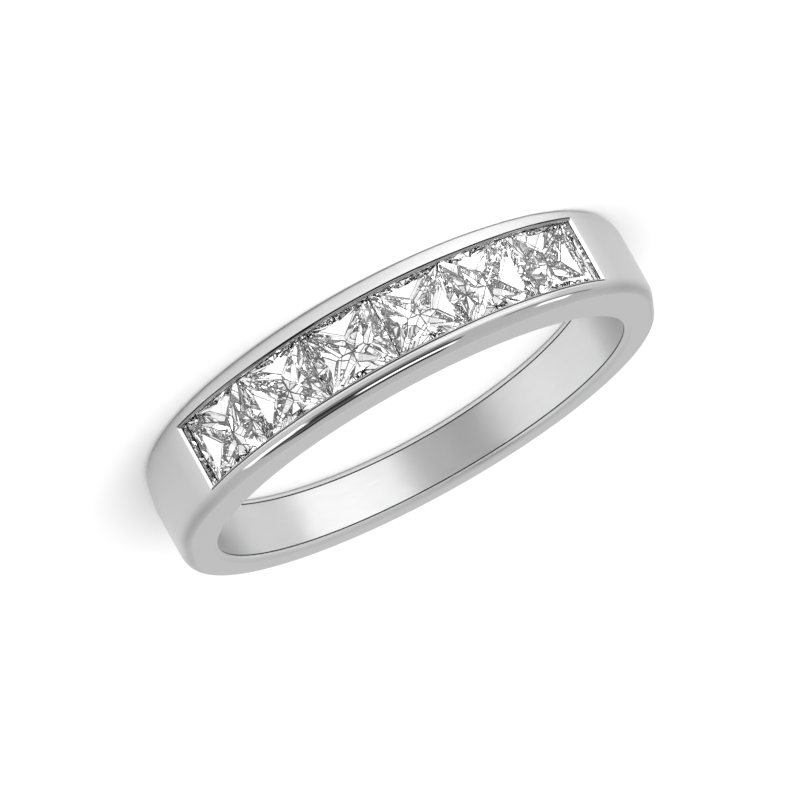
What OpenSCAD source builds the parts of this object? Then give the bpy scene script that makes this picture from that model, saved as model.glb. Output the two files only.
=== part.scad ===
// Half eternity ring with six square stones between two rails.
// The ring lies on its side. Its origin is the middle of the finger bore, and
// the stones face -Y. All sizes are in millimetres.

/* [Finger bore] */
// Diameter of the finger bore
bore_d = 17; // [17:0.1:19]
// Bevel where the bore meets the side faces
rim_bevel = 0.08; // [0.04:0.01:0.12]

/* [Band] */
// Width of the band across the stones, over both rails
top_w = 3.95; // [3.85:0.05:4.3]
// Width of the band at the back of the finger
back_w = 2.15; // [1.8:0.05:2.6]
// Thickness of the metal under and beside the stones
top_t = 2.35; // [2.3:0.05:2.5]
// Thickness of the metal at the back of the finger
back_t = 1.35; // [1.2:0.05:1.5]
// Radius of the long outer edges
edge_r = 0.36; // [0.2:0.02:0.4]

/* [Stones] */
// Length of each side of a square stone
stone_size = 2.855; // [2.7:0.005:2.86]
// Angle from one stone to the next around the bore
stone_pitch = 16.1; // [16.1:0.1:17]
// Depth of the girdle's middle below the top of the band
girdle_drop = 0.6; // [0.58:0.01:0.64]
// Thickness of the girdle
girdle_t = 0.09; // [0.05:0.01:0.12]
// Height of the crown above the girdle
crown_h = 0.33; // [0.25:0.01:0.36]

/* [Channel] */
// Width of the opening between the two rails
opening_w = 2.5; // [2.3:0.05:2.6]
// Bevel around the opening
opening_bevel = 0.15; // [0.08:0.01:0.18]
// Room between the metal and the stones
seat_gap = 0.05; // [0.03:0.01:0.06]

/* [Hidden] */
$fn = 96;

// The band in the side view: a round top, two shoulders, two straight flanks and a round back.
// The shoulders' middles lie on a line that falls 4 for each 3 sideways, so the stretches meet
// at sizes with few decimals.
bore_r = bore_d / 2;
top_r = bore_r + top_t;
back_r = bore_r + back_t;
shoulder_x = 1.5 * (top_r - back_r);
shoulder_y = 2 * (top_r - back_r);
shoulder_r = back_r - shoulder_x;
top_half_angle = atan(3 / 4);
flank_depth = 3;
core_r = bore_r + back_t / 2;

// The side faces are flat and lean in towards the back of the finger
taper = atan((top_w - back_w) / 2 / (top_r + back_r));
middle_half_w = top_w / 2 - top_r * tan(taper);
face_height = round(10000 * middle_half_w * cos(taper)) / 10000;
face_shift = middle_half_w * sin(taper);
big = 4 * top_r;

// The row of stones
stone_n = 6;
first_stone = -stone_pitch * (stone_n - 1) / 2;
end_room = 0.3;
channel_half_angle = stone_pitch * stone_n / 2 + end_room;
girdle_r = top_r - girdle_drop;
half_size = stone_size / 2;
half_girdle = girdle_t / 2;
corner = half_size * sqrt(2);
blank_h = 6;

// Crown facets: offset from the side's middle, and slope
crown_main = [0, 38];
crown_break = [18, 30];
crown_kite = [45, 24];

// Pavilion facets in three tiers, from the girdle down: offset from the side's middle, slope,
// and the distance from the axis, along the diagonal, where the tier begins
tiers = [[0, 54, corner], [15, 42, 0.84 * corner], [28, 35.5, 0.59 * corner]];
function diagonal_fall(tier) = cos(45 - tier[0]) * tan(tier[1]);
function tier_depth(k) = k == 0
    ? tiers[0][2] * diagonal_fall(tiers[0])
    : tier_depth(k - 1) + tiers[k][2] * (diagonal_fall(tiers[k]) - diagonal_fall(tiers[k - 1]));
pavilion_h = tier_depth(2);

// The channel in a cut along the bore, as distances from the girdle's middle and half widths.
// A stone's corners rise above its middle, because it is flat and the channel is round.
lip = opening_w / 2;
seat_half_w = half_size + seat_gap;
corner_rise = sqrt(pow(girdle_r, 2) + pow(half_size, 2)) - girdle_r;
rise_at_lip = 0.8 * corner_rise;
lip_bottom = half_girdle + (half_size - lip) * tan(crown_main[1]) + rise_at_lip + seat_gap;
seat_top = half_girdle + corner_rise + seat_gap;
seat_bottom = girdle_r - half_girdle;
floor_half_w = 0.25;
floor_depth = pavilion_h + seat_gap;
waist_half_w = 0.68 * seat_half_w + seat_gap;
waist_depth = 0.45 * pavilion_h;

// The opening's bevel runs on past the row's ends by this angle, up to the end bevels
bevel_run = 2;

// A section from an axis out to a rounded rim, with its flat top at the given height
module rim_section(r, h) {
    translate([0, -flank_depth]) square([r - edge_r, h + flank_depth]);
    translate([0, -flank_depth]) square([r, h + flank_depth - edge_r]);
    translate([r - edge_r, h - edge_r]) circle(edge_r);
}

// The outline of the band below one side face, on one side of the row's middle
module half_outline(h) {
    rotate([0, 0, -90]) rotate_extrude(angle = top_half_angle) rim_section(top_r, h);
    translate([shoulder_x, -shoulder_y, 0])
        rotate_extrude(angle = top_half_angle - 90) rim_section(shoulder_r, h);
    rotate([90, 0, 0])
        linear_extrude(shoulder_y)
            intersection() {
                rim_section(back_r, h);
                translate([back_r - flank_depth, -flank_depth])
                    square([flank_depth, h + 2 * flank_depth]);
            }
    rotate_extrude(angle = 90) rim_section(back_r, h);
}

// The half of the blank above the middle plane. The stretches of its outline meet face to face,
// and a round core runs through them all.
module half_blank() {
    intersection() {
        rotate([-taper, 0, 0]) {
            for (side = [0, 1])
                mirror([side, 0, 0]) half_outline(face_height);
            translate([0, 0, -flank_depth])
                cylinder(r = core_r, h = flank_depth + face_height - edge_r);
        }
        translate([-big / 2, -big / 2, 0]) cube([big, big, big / 2]);
    }
}

// The bevel at one end of the bore, square to the side face
module rim_cut() {
    rotate([-taper, 0, 0])
        translate([0, -face_shift, face_height - 2 * rim_bevel])
            cylinder(r1 = bore_r - rim_bevel, r2 = bore_r + 2 * rim_bevel, h = 3 * rim_bevel);
}

// The channel in section, as seen along the band
module channel_section() {
    for (side = [0, 1])
        mirror([0, side])
            polygon([
                [seat_bottom - floor_depth, 0],
                [seat_bottom - floor_depth, floor_half_w],
                [seat_bottom - waist_depth, waist_half_w],
                [seat_bottom - 2 * seat_gap, seat_half_w],
                [girdle_r + seat_top, seat_half_w],
                [girdle_r + lip_bottom, lip],
                [top_r + opening_bevel, lip],
                [top_r + opening_bevel, 0],
            ]);
}

// The section, revolved to both sides of the row's middle
module along_row(half_angle) {
    rotate([0, 0, -90 - half_angle]) rotate_extrude(angle = 2 * half_angle) children();
}

// The bevel around the opening, which is mitred at its four corners
module opening_bevels() {
    difference() {
        along_row(channel_half_angle + bevel_run)
            for (side = [0, 1])
                mirror([0, side])
                    polygon([
                        [top_r - 2 * opening_bevel, 0],
                        [top_r - 2 * opening_bevel, lip - opening_bevel],
                        [top_r + opening_bevel, lip + 2 * opening_bevel],
                        [top_r + opening_bevel, 0],
                    ]);
        for (side = [0, 1])
            mirror([side, 0, 0])
                rotate([0, 0, channel_half_angle])
                    translate([0, opening_bevel - top_r, 0])
                        rotate([0, 0, 45])
                            translate([0, -top_w, -top_w])
                                cube([2 * top_w, 2 * top_w, 2 * top_w]);
    }
}

// One cut plane: everything outside a slope that passes the axis at the given height
module facet(turn, slope, height) {
    rotate([0, 0, turn])
        translate([0, 0, height])
            rotate([0, slope, 0])
                translate([-blank_h, -blank_h, 0])
                    cube([2 * blank_h, 2 * blank_h, blank_h]);
}

// The height at which a crown slope through the girdle's corner or side meets the axis
function crown_axis(f) = f[0] == 0
    ? half_size * tan(f[1])
    : corner * cos(45 - f[0]) * tan(f[1]);

// A square stone with its girdle in the XY plane and its table up
module square_stone() {
    difference() {
        translate([-half_size, -half_size, -blank_h / 2])
            cube([stone_size, stone_size, blank_h / 2 + half_girdle + crown_h]);
        for (side = [0 : 3]) {
            translate([0, 0, half_girdle]) {
                facet(90 * side, crown_main[1], crown_axis(crown_main));
                facet(90 * side + 45, crown_kite[1], crown_axis(crown_kite));
                for (hand = [-1, 1])
                    facet(90 * side + hand * crown_break[0], crown_break[1], crown_axis(crown_break));
            }
            mirror([0, 0, 1])
                translate([0, 0, half_girdle])
                    for (k = [0 : 2], hand = [-1, 1])
                        facet(90 * side + hand * tiers[k][0], tiers[k][1], tier_depth(k));
        }
    }
}

// The ring leans by its taper, so that its lower side face lies flat
module lying() {
    rotate([-taper, 0, 0]) children();
}

module band() {
    color("silver")
        lying()
            difference() {
                union() {
                    half_blank();
                    mirror([0, 0, 1]) half_blank();
                }
                cylinder(r = bore_r, h = big, center = true);
                rim_cut();
                mirror([0, 0, 1]) rim_cut();
                along_row(channel_half_angle) channel_section();
                opening_bevels();
            }
}

// A stone at its place in the row, counted from 1
module stone(i) {
    color("white")
        lying()
            rotate([0, 0, -first_stone - (i - 1) * stone_pitch])
                translate([0, -girdle_r, 0])
                    rotate([90, 0, 0])
                        square_stone();
}

band();
stone(1);  // stone_1
stone(2);  // stone_2
stone(3);  // stone_3
stone(4);  // stone_4
stone(5);  // stone_5
stone(6);  // stone_6
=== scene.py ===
"""Looks of the half eternity ring: a polished white metal band with six square cut stones."""
import itertools
import math
import random
import bmesh
import bpy
import numpy as np
from mathutils import Matrix, Vector


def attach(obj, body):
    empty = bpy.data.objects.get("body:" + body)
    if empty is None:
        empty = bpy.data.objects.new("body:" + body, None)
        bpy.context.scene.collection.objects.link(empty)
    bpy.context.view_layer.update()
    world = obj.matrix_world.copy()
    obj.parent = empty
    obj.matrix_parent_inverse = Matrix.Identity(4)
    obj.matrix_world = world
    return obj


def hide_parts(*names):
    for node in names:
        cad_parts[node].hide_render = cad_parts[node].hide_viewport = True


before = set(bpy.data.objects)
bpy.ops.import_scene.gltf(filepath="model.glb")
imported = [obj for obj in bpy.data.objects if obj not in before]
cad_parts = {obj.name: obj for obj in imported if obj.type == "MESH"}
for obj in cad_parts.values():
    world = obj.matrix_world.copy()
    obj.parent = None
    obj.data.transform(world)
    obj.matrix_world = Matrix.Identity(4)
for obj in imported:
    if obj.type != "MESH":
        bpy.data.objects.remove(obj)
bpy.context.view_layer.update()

MM = 0.001
RIGHT_ANGLE = math.pi / 2
# Keeps a divisor away from zero
TINY = 1e-6

# The ring's sizes are in millimetres. Angles around it start at the middle of the row of
# stones and grow towards +X, and heights are above its middle plane.

# The outline in the side view: a round top, a shoulder on each side with its arc's middle
# and radius, two straight flanks and a round back
BORE_R = 8.5
TOP_R = 10.85
BACK_R = 9.85
SHOULDER_X = 1.5
SHOULDER_Y = 2.0
SHOULDER_R = 8.35
TOP_END = math.atan2(SHOULDER_X, SHOULDER_Y)
SHOULDER_END = math.atan2(BACK_R, SHOULDER_Y)

# The width over the rails and at the back, the lean of the side faces, and the height of the
# upper one above the bore's middle when it is turned level
TOP_W = 3.95
BACK_W = 2.15
TAPER = math.atan((TOP_W - BACK_W) / 2 / (TOP_R + BACK_R))
FACE_H = (TOP_W / 2 - TOP_R * math.tan(TAPER)) * math.cos(TAPER)

# The rounding of the long outer edges: how far it reaches along the wall, and into the metal
CROWN_W = 0.575
CROWN_D = 0.36

# The rounded rims of the bore, and the line of painted shade inside each
RIM_R = 0.2
RIM_LINE = 0.05

# The stones
STONE_N = 6
STONE_PITCH = 16.1
STONE_SIZE = 2.855
GIRDLE_R = 10.25
GIRDLE_T = 0.09
CROWN_H = 0.33

# The opening over the stones: half its width, the rounding beside it, the bevel at its ends
# and the line of painted shade below that, and the radius down to which its walls stand upright
LIP_HALF = 1.25
BEVEL = 0.12
END_BEVEL = 0.05
END_LINE = 0.05
LIP_R = 10.52
END_ROOM = 0.3
ROW_END = math.radians(STONE_PITCH * STONE_N / 2 + END_ROOM)
BEVEL_END = ROW_END + END_BEVEL / TOP_R

# The seat below the opening as radii and half widths, and a radius that its walls face
SEAT_SECTION = [
    (LIP_R, LIP_HALF),
    (10.444, 1.4775),
    (10.105, 1.4775),
    (9.52, 1.055),
    (8.64, 0.25),
]
SEAT_MIDDLE_R = 9.6

# How finely the metal is drawn
BAND_STEPS = 560
ROW_STEPS = 200
CROWN_STEPS = 18
RIM_STEPS = 10
BEVEL_STEPS = 9
WALL_STEPS = 6
END_STEPS = 25

# How many cells of the rounding beside the stones carry the painted shade of a crease
DARK_CELLS = 2

# Texture coordinates: the first is ten times the angle around the ring, and the second goes
# across the band. The channel's end walls are laid out along the ring by this share.
UV_NAME = "around_and_across"
UV_PER_RADIAN = 10
END_WALL_SHARE = 0.01

# The metals, in the order of the band's material slots
# The fourth is a painted shade in creases and recesses, the fifth a painted highlight
POLISHED, SATIN, FACE, PAINTED_SHADE, PAINTED_HIGHLIGHT, LIP = range(6)


# Points and directions


def around(theta, r, z):
    """Points at an angle around the ring, or vectors with an outward and an upward part."""
    theta, r, z = np.broadcast_arrays(theta, r, z)
    return np.stack([r * np.sin(theta), -r * np.cos(theta), z], -1)


def outline(theta):
    """Points of the band's outline and its outward normals, as x, y, nx, ny."""
    a, side = np.abs(theta), np.where(np.asarray(theta) < 0, -1.0, 1.0)
    dx, dy = np.sin(a), -np.cos(a)
    along = SHOULDER_X * dx - SHOULDER_Y * dy
    inside = SHOULDER_R**2 - SHOULDER_X**2 - SHOULDER_Y**2 + along**2
    r_shoulder = along + np.sqrt(np.maximum(inside, 0))
    r_flank = BACK_R / np.maximum(dx, TINY)
    stretches = [a <= TOP_END, a <= SHOULDER_END, a <= RIGHT_ANGLE]
    r = np.select(stretches, [TOP_R + 0 * a, r_shoulder, r_flank], BACK_R)
    x, y = r * dx, r * dy
    nx = np.select(stretches, [dx, (x - SHOULDER_X) / SHOULDER_R, 1 + 0 * a], dx)
    ny = np.select(stretches, [dy, (y + SHOULDER_Y) / SHOULDER_R, 0 * a], dy)
    return side * x, y, side * nx, ny


def tilt(v):
    """Turns vectors about X, as the side faces lean in and as the ring lies."""
    c, s = math.cos(TAPER), math.sin(TAPER)
    x, y, z = v[..., 0], v[..., 1], v[..., 2]
    return np.stack([x, y * c + z * s, -y * s + z * c], -1)


def face_z(y):
    """Height of the upper side face."""
    return (FACE_H - y * math.sin(TAPER)) / math.cos(TAPER)


def depth_at(theta, z):
    """Distance in from the side face of the outer wall's point at a height."""
    y = outline(theta)[1]
    return FACE_H - (z + y * math.sin(TAPER)) / math.cos(TAPER)


def wall_point(theta, s, beta=None, sink=0.0):
    """Points and normals of the outer wall at distance s in from the side face.

    beta is how far the rounding has turned, from 0 on the wall to a right angle at the side
    face. A sunk point lies that much deeper in the metal.
    """
    if beta is None:
        beta = np.arcsin(np.clip((CROWN_W - s) / CROWN_W, 0, 1))
    inset = CROWN_D * (1 - np.cos(beta)) + sink
    arrays = np.broadcast_arrays(*outline(theta), FACE_H - s, inset, beta)
    x, y, nx, ny, z, inset, beta = arrays
    p = np.stack([x - inset * nx, y - inset * ny, z], -1)
    out, up = np.cos(beta) / CROWN_D, np.sin(beta) / CROWN_W
    n = np.stack([out * nx, out * ny, up], -1)
    return tilt(p), tilt(n / np.linalg.norm(n, axis=-1, keepdims=True))


def uv_of(theta, across):
    """Texture coordinates for angles around the ring and places across the band."""
    theta, across = np.broadcast_arrays(theta, across)
    return np.stack([theta * UV_PER_RADIAN, across], -1)


# The band's mesh


class Patches:
    """Collects strips of a surface, each with its own points and normals."""

    def __init__(self):
        self.points, self.normals, self.uv = [], [], []
        self.faces, self.slots = [], []
        self.count = 0

    def add(self, p, n, uv, faces, slot):
        self.points.append(p.reshape(-1, 3))
        self.normals.append(n.reshape(-1, 3))
        self.uv.append(uv.reshape(-1, 2))
        self.faces += faces
        self.slots += [slot] * len(faces)
        self.count += self.points[-1].shape[0]

    def grid(self, p, n, uv, slot):
        """A strip of four-sided cells, which are turned so that they face along the normals."""
        rows, cols = p.shape[:2]
        at = self.count + np.arange(rows * cols).reshape(rows, cols)
        cells = np.stack([at[:-1, :-1], at[1:, :-1], at[1:, 1:], at[:-1, 1:]], -1)
        cells = cells.reshape(-1, 4)
        i, j = (rows - 1) // 2, (cols - 1) // 2
        made = np.cross(p[i + 1, j] - p[i, j], p[i + 1, j + 1] - p[i, j])
        if made @ n[i, j] < 0:
            cells = cells[:, ::-1]
        self.add(p, n, uv, cells.tolist(), slot)

    def both(self, p, n, uv, slot):
        """A strip of the upper half and its mirror image below."""
        flip = np.array([1.0, 1.0, -1.0])
        self.grid(p, n, uv, slot)
        self.grid(p * flip, n * flip, uv * [1, -1], slot)

    def polygon(self, p, normal, uv, slot):
        """One flat face."""
        face = list(range(self.count, self.count + len(p)))
        if np.cross(p, np.roll(p, -1, axis=0)).sum(axis=0) @ normal < 0:
            face = face[::-1]
        self.add(p, np.tile(normal, (len(p), 1)), uv, [face], slot)

    def build(self, name, materials):
        """The object made of all strips, lying as the ring does."""
        points = tilt(np.concatenate(self.points)) * MM
        mesh = bpy.data.meshes.new(name)
        mesh.from_pydata(points.tolist(), [], self.faces)
        for material in materials:
            mesh.materials.append(material)
        mesh.polygons.foreach_set("material_index", self.slots)
        mesh.polygons.foreach_set("use_smooth", [True] * len(self.slots))
        layer = mesh.uv_layers.new(name=UV_NAME)
        loops = np.zeros(len(mesh.loops), int)
        mesh.loops.foreach_get("vertex_index", loops)
        layer.data.foreach_set("uv", np.concatenate(self.uv)[loops].ravel())
        normals = tilt(np.concatenate(self.normals))
        mesh.normals_split_custom_set_from_vertices(normals.tolist())
        mesh.update()
        return placed(name, mesh)


def placed(name, data):
    """A new object in the scene."""
    obj = bpy.data.objects.new(name, data)
    bpy.context.scene.collection.objects.link(obj)
    return obj


def outer_wall(out, theta):
    """The wall beyond the row, from the middle plane over the rounding to the side face."""
    middle = depth_at(theta, 0.0)
    s = middle + (CROWN_W - middle) * np.linspace(0, 1, WALL_STEPS)[None, :]
    p, n = wall_point(theta, s)
    out.both(p, n, uv_of(np.abs(theta), 0 * s), POLISHED)
    beta = np.linspace(0, RIGHT_ANGLE, CROWN_STEPS)[None, :]
    p, n = wall_point(theta, CROWN_W * (1 - np.sin(beta)), beta)
    out.both(p, n, uv_of(np.abs(theta), beta / beta.max()), POLISHED)


def rails(out, theta):
    """The two rails, from beside the opening to the side face. Gives their inner edge."""
    inner = depth_at(theta, LIP_HALF + BEVEL)
    first = np.arcsin(np.clip(1 - inner / CROWN_W, 0, 1))
    beta = first + (RIGHT_ANGLE - first) * np.linspace(0, 1, CROWN_STEPS)[None, :]
    p, n = wall_point(theta, CROWN_W * (1 - np.sin(beta)), beta)
    out.both(p, n, uv_of(theta, beta / beta.max()), POLISHED)
    return p[:, 0]


def opening_edge(out, theta, rail_edge):
    """The rounding between rail and opening. Gives its lower edge."""
    lower, _ = wall_point(theta, depth_at(theta, LIP_HALF), sink=BEVEL)
    _, _, nx, ny = outline(theta)
    radial = np.stack([nx, ny, 0 * nx], -1)[:, None]
    turn = np.linspace(0, RIGHT_ANGLE, BEVEL_STEPS)[None, :, None]
    n = np.cos(turn) * radial - np.sin(turn) * np.array([0, 0, 1.0])
    share = np.concatenate([1 - np.cos(turn), 1 - np.cos(turn), np.sin(turn)], -1)
    upper = rail_edge[:, None]
    p = upper + (lower[:, None] - upper) * share
    uv = uv_of(theta[:, None], 0 * turn[..., 0])
    # The cells next to the rail are a painted crease shade, the rest the lip's metal
    dark, pale = slice(None, DARK_CELLS + 1), slice(DARK_CELLS, None)
    out.both(p[:, dark], n[:, dark], uv[:, dark], PAINTED_SHADE)
    out.both(p[:, pale], n[:, pale], uv[:, pale], LIP)
    return lower


def channel_walls(out, theta, lip):
    """The walls below the opening, the seat that the stones stand in, and its floor."""
    p = np.stack([lip, around(theta, LIP_R, LIP_HALF)], 1)
    theta = theta[:, None]
    # The upright walls are painted shade, near black
    out.both(p, np.zeros_like(p) + [0, 0, -1], uv_of(theta, p[..., 2]), PAINTED_SHADE)
    for (r0, z0), (r1, z1) in zip(SEAT_SECTION, SEAT_SECTION[1:]):
        p = around(theta, [r0, r1], [z0, z1])
        length = math.hypot(r1 - r0, z1 - z0)
        nr, nz = (z0 - z1) / length, (r1 - r0) / length
        if nr * (SEAT_MIDDLE_R - r0) - nz * z0 < 0:
            nr, nz = -nr, -nz
        out.both(p, around(theta, nr, nz) + 0 * p, uv_of(theta, p[..., 2]), SATIN)
    r, z = SEAT_SECTION[-1]
    p = around(theta, r, [z, -z])
    out.grid(p, around(theta, 1, 0) + 0 * p, uv_of(theta, p[..., 2]), SATIN)


def channel_end(out, side, edge_z):
    """The channel's end wall on one side (1 or -1) and the bevel above, in painted highlight,
    and a line of painted shade between.
    """
    end, far = side * ROW_END, side * BEVEL_END
    share = np.linspace(-1, 1, END_STEPS)
    z_in, z_out = share * LIP_HALF, share * edge_z
    half = np.array([1.0, 1.0, -1.0]) ** (share < 0)[:, None]
    lower = half * wall_point(end, depth_at(end, np.abs(z_in)), sink=BEVEL)[0]
    upper = half * wall_point(far, depth_at(far, np.abs(z_out)))[0]
    radial = around(end, 1, 0)
    inward = np.array([-math.cos(end), -math.sin(end), 0]) * side
    n = np.tile((radial + inward) / math.sqrt(2), (END_STEPS, 2, 1))
    out.grid(np.stack([upper, lower], 1), n, uv_of(0, np.stack([z_out, z_in], 1)), PAINTED_HIGHLIGHT)
    # A line of painted shade below the bevel
    line = lower - END_LINE * radial
    n = np.tile(inward, (END_STEPS, 2, 1))
    out.grid(np.stack([lower, line], 1), n, uv_of(0, np.stack([z_in, z_in], 1)), PAINTED_SHADE)
    r, z = np.array(SEAT_SECTION + [(r, -z) for r, z in reversed(SEAT_SECTION)]).T
    p = np.concatenate([line, around(end, r, z)])
    out.polygon(p, inward, uv_of(END_WALL_SHARE * p[:, 1], p[:, 2]), PAINTED_HIGHLIGHT)


def side_faces_and_bore(out, bore, theta):
    """The side faces and the rounded rims of the bore, and the bore's wall on its own."""
    outer, _ = wall_point(theta, np.zeros((1, 1)), np.full((1, 1), RIGHT_ANGLE))
    r = BORE_R + RIM_R
    rim = around(theta, r, face_z(-r * np.cos(theta)))
    p = np.concatenate([outer, rim], 1)
    up = tilt(np.array([0.0, 0.0, 1.0]))
    out.both(p, np.zeros_like(p) + up, uv_of(theta, p[..., 2]), FACE)
    gamma = np.linspace(0, RIGHT_ANGLE, RIM_STEPS)[None, :]
    r = BORE_R + RIM_R * (1 - np.sin(gamma))
    p = around(theta, r, face_z(-r * np.cos(theta)) - RIM_R * (1 - np.cos(gamma)))
    n = around(theta, -np.sin(gamma), np.cos(gamma))
    out.both(p, n, uv_of(theta, 1 + 0 * gamma), POLISHED)
    # A thin line of painted shade where each rim meets the bore's wall
    hole = p[:, -1] - [0, 0, RIM_LINE]
    p = np.stack([p[:, -1], hole], 1)
    n = around(theta, -1, 0)
    out.both(p, n + 0 * p, uv_of(theta, p[..., 2]), PAINTED_SHADE)
    down = np.linspace(0, 1, WALL_STEPS)[None, :, None]
    p = hole[:, None] * (1 - down) + (hole * [1, 1, -1])[:, None] * down
    bore.grid(p, n + 0 * p, uv_of(theta, p[..., 2]), 0)


def band_patches():
    """The band's outside with its channel, and the wall of its bore.

    The side faces and the bore share their angles with the outer wall and the rails, so that
    the strips meet point to point.
    """
    out, bore = Patches(), Patches()
    beyond = np.linspace(BEVEL_END, math.tau - BEVEL_END, BAND_STEPS)
    beyond = np.where(beyond > math.pi, beyond - math.tau, beyond)[:, None]
    beside = np.linspace(-BEVEL_END, BEVEL_END, ROW_STEPS)[:, None]
    row = np.linspace(-ROW_END, ROW_END, ROW_STEPS)
    outer_wall(out, beyond)
    rail_edge = rails(out, beside)
    lip = opening_edge(out, row, rail_edge)
    channel_walls(out, row, lip)
    for side in (-1, 1):
        channel_end(out, side, rail_edge[0, 2])
    half = BAND_STEPS // 2
    closing = beyond[half:half + 1] + math.tau
    whole = np.concatenate([beyond[half:], beside[1:-1], beyond[:half], closing])
    side_faces_and_bore(out, bore, whole)
    return out, bore


# The stones

# Crown facets: azimuth from the side's middle, slope
CROWN_FACETS = [(0, 38), (45, 24), (18, 30), (-18, 30)]
# Pavilion tiers: azimuth from the side's middle, slope, and how far out along the diagonal
# the tier begins
PAVILION_TIERS = [
    (0, 58, 1.0),
    (0, 51, 0.965),
    (7, 46.5, 0.93),
    (13, 42.5, 0.87),
    (23, 37.8, 0.7),
]
# How many degrees a cut facet may be off, in the crown and in the pavilion
CROWN_WANDER = 1
PAVILION_WANDER = 0.5
# The first stone's seed, from which the others count on
FIRST_SEED = 41
# Width of the line of painted shade along each edge of a pavilion facet, and the length under
# which an edge shrinks to a point, in millimetres
EDGE_LINE = 0.03
SHORTEST_EDGE = 0.004
# Distances that count as none in the making of a stone
SAME = 1e-5
ROUNDING = 1e-7
GIRDLE_MARGIN = 1e-4


def convex_solid(planes):
    """Corners and faces of the solid inside all planes, each a unit normal and its distance."""
    n = np.array([p[0] for p in planes], float)
    d = np.array([p[1] for p in planes], float)
    triples = np.array(list(itertools.combinations(range(len(d)), 3)))
    good = np.abs(np.linalg.det(n[triples])) > SAME
    points = np.linalg.solve(n[triples][good], d[triples[good]][..., None])[..., 0]
    points = points[(points @ n.T <= d + ROUNDING).all(axis=1)]
    corners = []
    for q in points:
        if not any(np.abs(q - c).max() < SAME for c in corners):
            corners.append(q)
    corners = np.array(corners)
    faces = []
    for normal, distance in zip(n, d):
        on = np.flatnonzero(np.abs(corners @ normal - distance) < SAME)
        if len(on) < 3:
            continue
        spokes = corners[on] - corners[on].mean(axis=0)
        turn = np.arctan2(spokes @ np.cross(normal, spokes[0]), spokes @ spokes[0])
        faces.append(on[np.argsort(turn)].tolist())
    return corners, faces


def slope_plane(azimuth, slope, through, up):
    """A facet's plane: it falls off at a slope towards an azimuth and holds a point."""
    a, s = math.radians(azimuth), math.radians(slope)
    n = np.array([math.sin(s) * math.cos(a), math.sin(s) * math.sin(a), up * math.cos(s)])
    return n, float(n @ through)


def level_point(azimuth, reach, z):
    a = math.radians(azimuth)
    return np.array([reach * math.cos(a), reach * math.sin(a), z])


def stone_mesh(name, seed):
    """A square stone in millimetres: girdle in the XY plane, table up."""
    rng = random.Random(seed)
    half, half_girdle = STONE_SIZE / 2, GIRDLE_T / 2
    corner = half * math.sqrt(2)
    planes = [(np.array([0, 0, 1.0]), half_girdle + CROWN_H)]
    for side in range(0, 360, 90):
        planes.append((level_point(side, 1, 0), half))
        for azimuth, slope in CROWN_FACETS:
            reach = corner * math.cos(math.radians(45 - abs(azimuth))) if azimuth else half
            slope += rng.uniform(-CROWN_WANDER, CROWN_WANDER)
            through = level_point(side + azimuth, reach, half_girdle)
            planes.append(slope_plane(side + azimuth, slope, through, 1))
    depth, fall, begun = 0.0, 0.0, 1.0
    for azimuth, slope, share in PAVILION_TIERS:
        depth += (begun - share) * corner * fall
        fall = math.cos(math.radians(45 - azimuth)) * math.tan(math.radians(slope))
        begun = share
        wander = PAVILION_WANDER if azimuth else 0
        for side in range(0, 360, 90):
            for hand in (-1, 1) if azimuth else (1,):
                through = level_point(side + hand * 45, share * corner, -half_girdle - depth)
                turn = side + hand * azimuth + rng.uniform(-wander, wander)
                cut = slope + rng.uniform(-wander, wander)
                planes.append(slope_plane(turn, cut, through, -1))
    corners, faces = convex_solid(planes)
    mesh = bpy.data.meshes.new(name)
    mesh.from_pydata(corners.tolist(), [], faces)
    mesh.update()
    return mesh


def outline_facets(mesh):
    """Gives the pavilion facets the second material, and the third, a painted shade, along
    their borders.
    """
    bm = bmesh.new()
    bm.from_mesh(mesh)
    bmesh.ops.remove_doubles(bm, verts=bm.verts, dist=SHORTEST_EDGE)
    top = -GIRDLE_T / 2 - GIRDLE_MARGIN
    below = [f for f in bm.faces if f.calc_center_median().z < top]
    for f in below:
        f.material_index = 1
    wide = [f for f in below if f.calc_area() / f.calc_perimeter() > 2 * EDGE_LINE]
    lines = bmesh.ops.inset_individual(bm, faces=wide, thickness=EDGE_LINE)
    for f in lines["faces"]:
        f.material_index = 2
    bm.to_mesh(mesh)
    bm.free()


def stone(i, materials):
    """A stone at its place in the row, counted from 1."""
    name = f"cut_stone_{i}"
    mesh = stone_mesh(name, FIRST_SEED - 1 + i)
    for material in materials:
        mesh.materials.append(material)
    outline_facets(mesh)
    angle = math.radians(STONE_PITCH * ((STONE_N + 1) / 2 - i))
    along = np.array([math.cos(angle), math.sin(angle), 0.0])
    axial = np.array([0.0, 0.0, 1.0])
    x, y, z = np.array([v.co for v in mesh.vertices]).T[..., None]
    p = x * along + y * axial + (z + GIRDLE_R) * around(angle, 1.0, 0.0)
    mesh.vertices.foreach_set("co", (tilt(p) * MM).ravel())
    mesh.update()
    return placed(name, mesh)


# Materials


def grey(value):
    return (value, value, value, 1)


METAL = (0.68, 0.682, 0.68, 1)
SATIN_METAL = (0.75, 0.752, 0.75, 1)
# A painted highlight: metal far paler than the band's, on the channel's ends
PAINTED_HIGHLIGHT_METAL = grey(0.95)
# A painted shade: near black metal for creases and recesses
PAINTED_SHADE_METAL = grey(0.015)
LIP_METAL = grey(0.45)
# Painted shade: the grey that the shoulders and the back turn to
SHOULDER_PAINTED_SHADE = 0.535

# Where the polish softens and greys along the band, the grey a painted shade, as its first
# texture coordinate, and where the rounding takes on the side faces' tone, as its second
ROUGH_FADE = (7.3, 8.9)
PAINTED_SHADE_FADE = (7.5, 9.5)
FACE_FADE = (0.55, 1.0)
BAND_ROUGHNESS = (0.03, 0.42)

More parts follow.
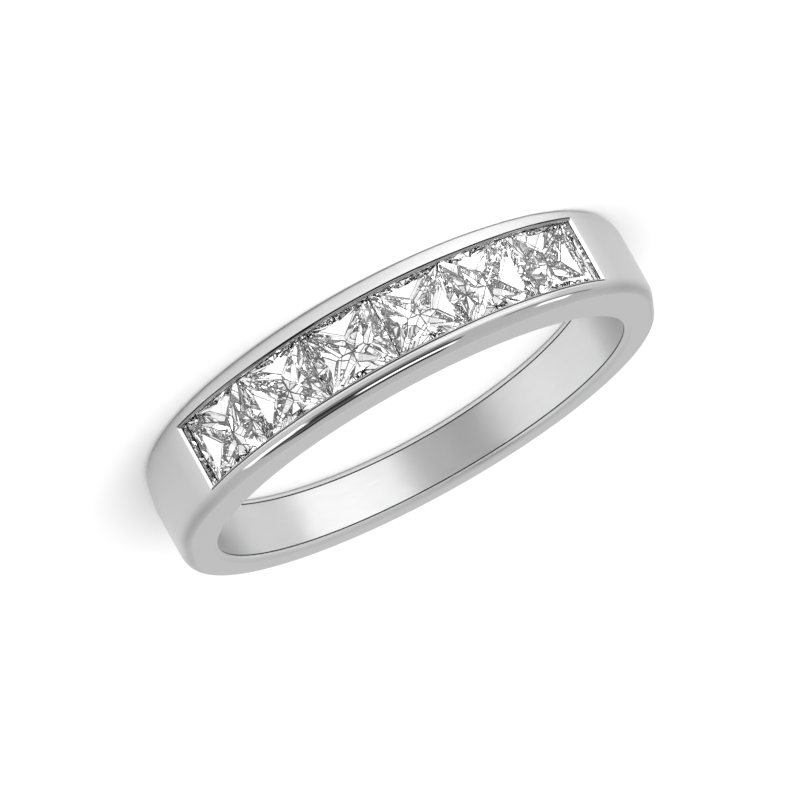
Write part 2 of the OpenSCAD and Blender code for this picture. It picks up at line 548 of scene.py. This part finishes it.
# The fine grain: its scale in the object's metres, the part of the noise that counts, and by
# how much it changes tone and roughness
GRAIN_SCALE = 20000
GRAIN_DETAIL = 2
NOISE_SPAN = (0.3, 0.7)
GRAIN_TONE = (0.97, 1.03)
GRAIN_ROUGHNESS = (0.92, 1.08)
FACE_ROUGHNESS = (0.32, 0.44)

# The brushed lines inside the bore
BRUSH_STRETCH = (0.35, 14, 1)
BRUSH_SCALE = 2.2
BRUSH_DETAIL = 5
BRUSH_STRENGTH = 0.12
BRUSH_DEPTH = 0.00002
BRUSH_TURN = 0.25
BORE_ROUGHNESS = (0.42, 0.56)

# The stones: how far they bend light, how much of a real stone's mirroring they keep, their
# tint, and the tones of the pavilion's mirror and of the painted shade lines in it
STONE_IOR = 2.417
STONE_MIRROR = grey(0.62)
STONE_TINT = (0.995, 0.995, 1.0, 1)
PAVILION_TONE = grey(1.0)
FACET_PAINTED_SHADE = grey(0.03)

FLOOR_TONE = grey(0.95)
FLOOR_ROUGHNESS = 0.9
FLOOR_MIRROR = 0.1


class Tree:
    """The nodes of a material or a world, and short ways to add to them."""

    def __init__(self, owner):
        owner.use_nodes = True
        self.nodes, self.links = owner.node_tree.nodes, owner.node_tree.links
        self.nodes.clear()

    def feed(self, node, name, value):
        """Sets one of a node's inputs to a value, or links it to another node's output."""
        if isinstance(value, bpy.types.NodeSocket):
            self.links.new(value, node.inputs[name])
        else:
            node.inputs[name].default_value = value

    def add(self, kind, inputs=None, **settings):
        node = self.nodes.new("ShaderNode" + kind)
        for name, value in settings.items():
            setattr(node, name, value)
        for name, value in (inputs or {}).items():
            self.feed(node, name, value)
        return node

    def math(self, operation, *values):
        return self.add("Math", dict(enumerate(values)), operation=operation).outputs[0]

    def ranged(self, value, source, target, **settings):
        """Maps a value from one range to another."""
        names = ("Value", "From Min", "From Max", "To Min", "To Max")
        inputs = dict(zip(names, (value, *source, *target)))
        return self.add("MapRange", inputs, **settings).outputs["Result"]

    def grain(self):
        place = self.add("TexCoord").outputs["Object"]
        inputs = {"Vector": place, "Scale": GRAIN_SCALE, "Detail": GRAIN_DETAIL}
        return self.add("TexNoise", inputs).outputs["Fac"]


def new_material(name, inputs):
    """A material, its nodes and its shader, whose inputs are the same all over."""
    material = bpy.data.materials.new(name)
    tree = Tree(material)
    shader = tree.add("BsdfPrincipled", inputs)
    tree.add("OutputMaterial", {"Surface": shader.outputs[0]})
    return material, tree, shader


def plain_material(name, inputs):
    return new_material(name, inputs)[0]


def polished_metal(name, colour, painted_shade_tone=None):
    """Mirror bright along the row, and softer on the shoulders and the back.

    With a painted shade tone it also turns grey there, which is painted shade, and it takes on
    the side faces' tone where the second texture coordinate rises to 1 at them.
    """
    material, tree, shader = new_material(name, {"Metallic": 1, "Base Color": colour})
    split = tree.add("SeparateXYZ", {0: tree.add("UVMap").outputs["UV"]})
    from_row = tree.math("ABSOLUTE", split.outputs[0])
    grain = tree.grain()
    if painted_shade_tone:
        lift = tree.math("ABSOLUTE", split.outputs[1])
        # Greyer towards the shoulders and the back, which is painted shade
        along = tree.ranged(from_row, PAINTED_SHADE_FADE, (colour[1], painted_shade_tone))
        tone = tree.ranged(lift, FACE_FADE, (along, SATIN_METAL[1]))
        uneven = tree.ranged(grain, NOISE_SPAN, GRAIN_TONE)
        tree.feed(shader, "Base Color", tree.math("MULTIPLY", tone, uneven))
    rough = tree.ranged(from_row, ROUGH_FADE, BAND_ROUGHNESS)
    uneven = tree.ranged(grain, NOISE_SPAN, GRAIN_ROUGHNESS)
    tree.feed(shader, "Roughness", tree.math("MULTIPLY", rough, uneven))
    return material


def matt_metal():
    """The finely blasted side faces."""
    inputs = {"Metallic": 1, "Base Color": SATIN_METAL}
    material, tree, shader = new_material("satin_face_metal", inputs)
    grain = tree.grain()
    tones = tuple(k * SATIN_METAL[1] for k in GRAIN_TONE)
    tree.feed(shader, "Base Color", tree.ranged(grain, NOISE_SPAN, tones))
    tree.feed(shader, "Roughness", tree.ranged(grain, NOISE_SPAN, FACE_ROUGHNESS))
    return material


def satin_metal():
    """The bore, brushed around the finger."""
    material, tree, shader = new_material("satin_bore_metal", {
        "Metallic": 1,
        "Base Color": SATIN_METAL,
        "Anisotropic": 1.0,
        "Anisotropic Rotation": BRUSH_TURN,
    })
    uv = tree.add("UVMap").outputs["UV"]
    place = tree.add("Mapping", {"Vector": uv, "Scale": BRUSH_STRETCH}).outputs["Vector"]
    inputs = {"Vector": place, "Scale": BRUSH_SCALE, "Detail": BRUSH_DETAIL}
    lines = tree.add("TexNoise", inputs).outputs["Fac"]
    inputs = {"Strength": BRUSH_STRENGTH, "Distance": BRUSH_DEPTH, "Height": lines}
    tree.feed(shader, "Normal", tree.add("Bump", inputs).outputs["Normal"])
    tangent = tree.add("Tangent", direction_type="UV_MAP", uv_map=UV_NAME)
    tree.feed(shader, "Tangent", tangent.outputs["Tangent"])
    tree.feed(shader, "Roughness", tree.ranged(lines, NOISE_SPAN, BORE_ROUGHNESS))
    return material


# The object

satin_bore = satin_metal()
metals = [
    polished_metal("polished_white_metal", METAL, SHOULDER_PAINTED_SHADE),
    satin_bore,
    matt_metal(),
    # Painted shade in creases and recesses
    polished_metal("painted_crease_shade", PAINTED_SHADE_METAL),
    # Painted highlight on the channel's end bevels and end walls
    polished_metal("painted_highlight_metal", PAINTED_HIGHLIGHT_METAL),
    polished_metal("channel_lip", LIP_METAL),
]
gem_materials = [
    plain_material("clear_cut_stone", {
        "Base Color": STONE_TINT,
        "Roughness": 0.0,
        "IOR": STONE_IOR,
        "Specular Tint": STONE_MIRROR,
        "Transmission Weight": 1.0,
    }),
    plain_material("stone_pavilion", {
        "Metallic": 1,
        "Base Color": PAVILION_TONE,
        "Roughness": 0.0,
    }),
    # Painted shade along the edges of the pavilion facets
    plain_material("stone_facet_painted_shade", {
        "Metallic": 1,
        "Base Color": FACET_PAINTED_SHADE,
        "Roughness": 0.0,
    }),
]
outside, bore_wall = band_patches()
band = outside.build("ring_band", metals)
bore = bore_wall.build("ring_bore_wall", [satin_bore])
for piece in (band, bore):
    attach(piece, "root")
    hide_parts("band")
gems = [stone(i, gem_materials) for i in range(1, STONE_N + 1)]
for i, gem in enumerate(gems, 1):
    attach(gem, "root")
    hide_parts(f"stone_{i}")

# The studio

FLOOR_SIZE = 2.6
bpy.ops.mesh.primitive_plane_add(size=FLOOR_SIZE, location=(0, 0, -FACE_H * MM))
floor = bpy.context.object
floor.name = "floor"
floor.data.materials.append(plain_material("pale_floor", {
    "Base Color": FLOOR_TONE,
    "Roughness": FLOOR_ROUGHNESS,
    "Specular IOR Level": FLOOR_MIRROR,
}))

# What the metal and the stones mirror: panels of light and shade around the ring, as azimuth
# from the front towards +X, elevation, width, height and softness in degrees, and brightness,
# which is added to the base
BASE_LIGHT = 0.8
DARKEST = 0.03
PANELS = [
    (0, 5, 250, 20, 4, 0.2),
    (180, 8, 150, 30, 8, 0.06),
    (-42, 1, 56, 16, 7, 0.8),
    (-78, 26, 18, 9, 2, 1.4),
    (62, 26, 36, 12, 2, 1.4),
    (-5, 41.5, 52, 8, 2, 1.8),
    (8, 22.5, 66, 11, 3, -0.5),
    (10, 31, 84, 7, 1.5, -0.8),
    (21, 54, 104, 13, 3, -0.8),
    (47, 40, 60, 12, 3, -0.7),
    (-75, 18.5, 50, 4, 1.5, -0.5),
]


class Sky(Tree):
    """Adds up the studio's panels in the world's shader."""

    def __init__(self, world):
        super().__init__(world)
        ahead = self.add("TexCoord").outputs["Generated"]
        self.x, self.y, self.z = self.add("SeparateXYZ", {0: ahead}).outputs
        self.elevation = self.degrees(self.math("ARCSINE", self.z))

    def degrees(self, angle):
        return self.math("MULTIPLY", angle, 180 / math.pi)

    def inside(self, value, half, soft):
        """1 where the value's size is under half, fading to 0 over the softness."""
        edges = (half - soft, half + soft)
        size = self.math("ABSOLUTE", value)
        return self.ranged(size, edges, (1, 0), interpolation_type="SMOOTHSTEP")

    def panel(self, azimuth, elevation, width, height, soft, brightness):
        """A panel's brightness in the looked-up direction."""
        c, s = math.cos(math.radians(azimuth)), math.sin(math.radians(azimuth))
        x_ahead, y_ahead = self.math("MULTIPLY", self.x, s), self.math("MULTIPLY", self.y, c)
        x_aside, y_aside = self.math("MULTIPLY", self.x, c), self.math("MULTIPLY", self.y, s)
        ahead = self.math("SUBTRACT", x_ahead, y_ahead)
        aside = self.math("ADD", x_aside, y_aside)
        turn = self.degrees(self.math("ARCTAN2", aside, ahead))
        lift = self.math("SUBTRACT", self.elevation, elevation)
        across, up = self.inside(turn, width / 2, soft), self.inside(lift, height / 2, soft)
        return self.math("MULTIPLY", self.math("MULTIPLY", across, up), brightness)


world = bpy.context.scene.world or bpy.data.worlds.new("studio")
bpy.context.scene.world = world
sky = Sky(world)
light = BASE_LIGHT
for panel in PANELS:
    light = sky.math("ADD", sky.panel(*panel), light)
background = sky.add("Background", {"Strength": sky.math("MAXIMUM", light, DARKEST)})
sky.add("OutputWorld", {"Surface": background.outputs[0]})


def new_lamp(name, kind, power, spot, turn):
    """A lamp at a spot in metres. Gives its data and its object."""
    lamp = bpy.data.lights.new(name, kind)
    lamp.energy = power
    holder = placed(name, lamp)
    holder.location, holder.rotation_euler = spot, turn
    return lamp, holder


def light_floor_alone(holder):
    """The metal doesn't mirror the lamp, and the stones don't pass it on."""
    holder.visible_glossy = False
    holder.visible_transmission = False


# The lamps that light only the floor: a wide soft one from above, and two small ones near the
# ring, with diameter, power in watts, place and turn
SOFT_POWER = 1.7
SOFT_SPREAD = math.radians(120)
SOFT_TILT = math.radians(15)
NEAR_LAMPS = [
    ("near_lamp", 0.04, 0.006, (-0.03, -0.045, 0.05), (math.radians(20), math.radians(-10), 0)),
    ("contact_lamp", 0.003, 0.00034, (-0.006, -0.0136, 0.0042), (0, 0, 0)),
]
lamp, holder = new_lamp("soft_lamp", "SUN", SOFT_POWER, (0, 0, 0), (SOFT_TILT, 0, 0))
lamp.angle = SOFT_SPREAD
light_floor_alone(holder)
for name, diameter, power, spot, turn in NEAR_LAMPS:
    lamp, holder = new_lamp(name, "AREA", power, spot, turn)
    lamp.shape = "DISK"
    lamp.size = diameter
    light_floor_alone(holder)
    holder.visible_camera = False

# Lamps for the bore's wall alone and for the stones alone: azimuth from the front towards
# +X, elevation, distance, width and height in millimetres, and power in watts
BORE_LAMPS = [
    (-47, 30, 60, 72, 12, 0.03),
    (88, 30, 60, 110, 12, 0.0195),
    (-112, 30, 60, 48, 12, 0.004),
]
STONE_LAMPS = [
    (-68, 30, 200, 178, 78, 0.30),
    (58, 24, 200, 213, 63, 0.22),
    (-35, 38, 260, 270, 215, 0.15),
    (20, 38, 260, 270, 215, 0.15),
    (75, 38, 260, 270, 215, 0.15),
]


def away_from_ring(azimuth, elevation):
    """The direction from the ring at an azimuth from the front towards +X."""
    a, e = math.radians(azimuth), math.radians(elevation)
    return Vector((math.sin(a) * math.cos(e), -math.cos(a) * math.cos(e), math.sin(e)))


for name, lamps, lit in (("bore_lamp", BORE_LAMPS, [bore]), ("stone_lamp", STONE_LAMPS, gems)):
    receivers = bpy.data.collections.new(name + "_lights")
    for piece in lit:
        receivers.objects.link(piece)
    for azimuth, elevation, distance, width, height, power in lamps:
        away = away_from_ring(azimuth, elevation)
        turn = away.to_track_quat("Z", "Y").to_euler()
        lamp, holder = new_lamp(name, "AREA", power, away * distance * MM, turn)
        lamp.shape = "RECTANGLE"
        lamp.size, lamp.size_y = width * MM, height * MM
        holder.light_linking.receiver_collection = receivers
        holder.visible_camera = False

# The light crosses many facets before it leaves a stone
FACET_BOUNCES = 32
ALL_BOUNCES = 40
bpy.context.scene.cycles.glossy_bounces = FACET_BOUNCES
bpy.context.scene.cycles.transmission_bounces = FACET_BOUNCES
bpy.context.scene.cycles.max_bounces = ALL_BOUNCES

# The camera: where it stands in degrees and millimetres, the point it aims at, and its lens
CAM_AZIMUTH = 4.266
CAM_ELEVATION = 18.065
CAM_ROLL = math.radians(-150.567)
CAM_DISTANCE = 500.0
CAM_AIM = Vector((0.0339, -0.0767, -0.2424))
CAM_LENS = 611.68
CAM_SENSOR = 36
CAM_NEAR = 0.05
CAM_FAR = 3

back = away_from_ring(CAM_AZIMUTH, CAM_ELEVATION)
level = (-back).cross(Vector((0, 0, 1))).normalized()
plumb = level.cross(-back)
cam_up = plumb * math.cos(CAM_ROLL) + level * math.sin(CAM_ROLL)
cam_right = (-back).cross(cam_up)
camera = placed("camera", bpy.data.cameras.new("camera"))
turned = Matrix((cam_right, cam_up, back)).transposed().to_4x4()
camera.matrix_world = Matrix.Translation((CAM_AIM + back * CAM_DISTANCE) * MM) @ turned
camera.data.lens = CAM_LENS
camera.data.sensor_width = CAM_SENSOR
camera.data.clip_start, camera.data.clip_end = CAM_NEAR, CAM_FAR
bpy.context.scene.camera = camera
bpy.context.scene.view_settings.view_transform = "Standard"
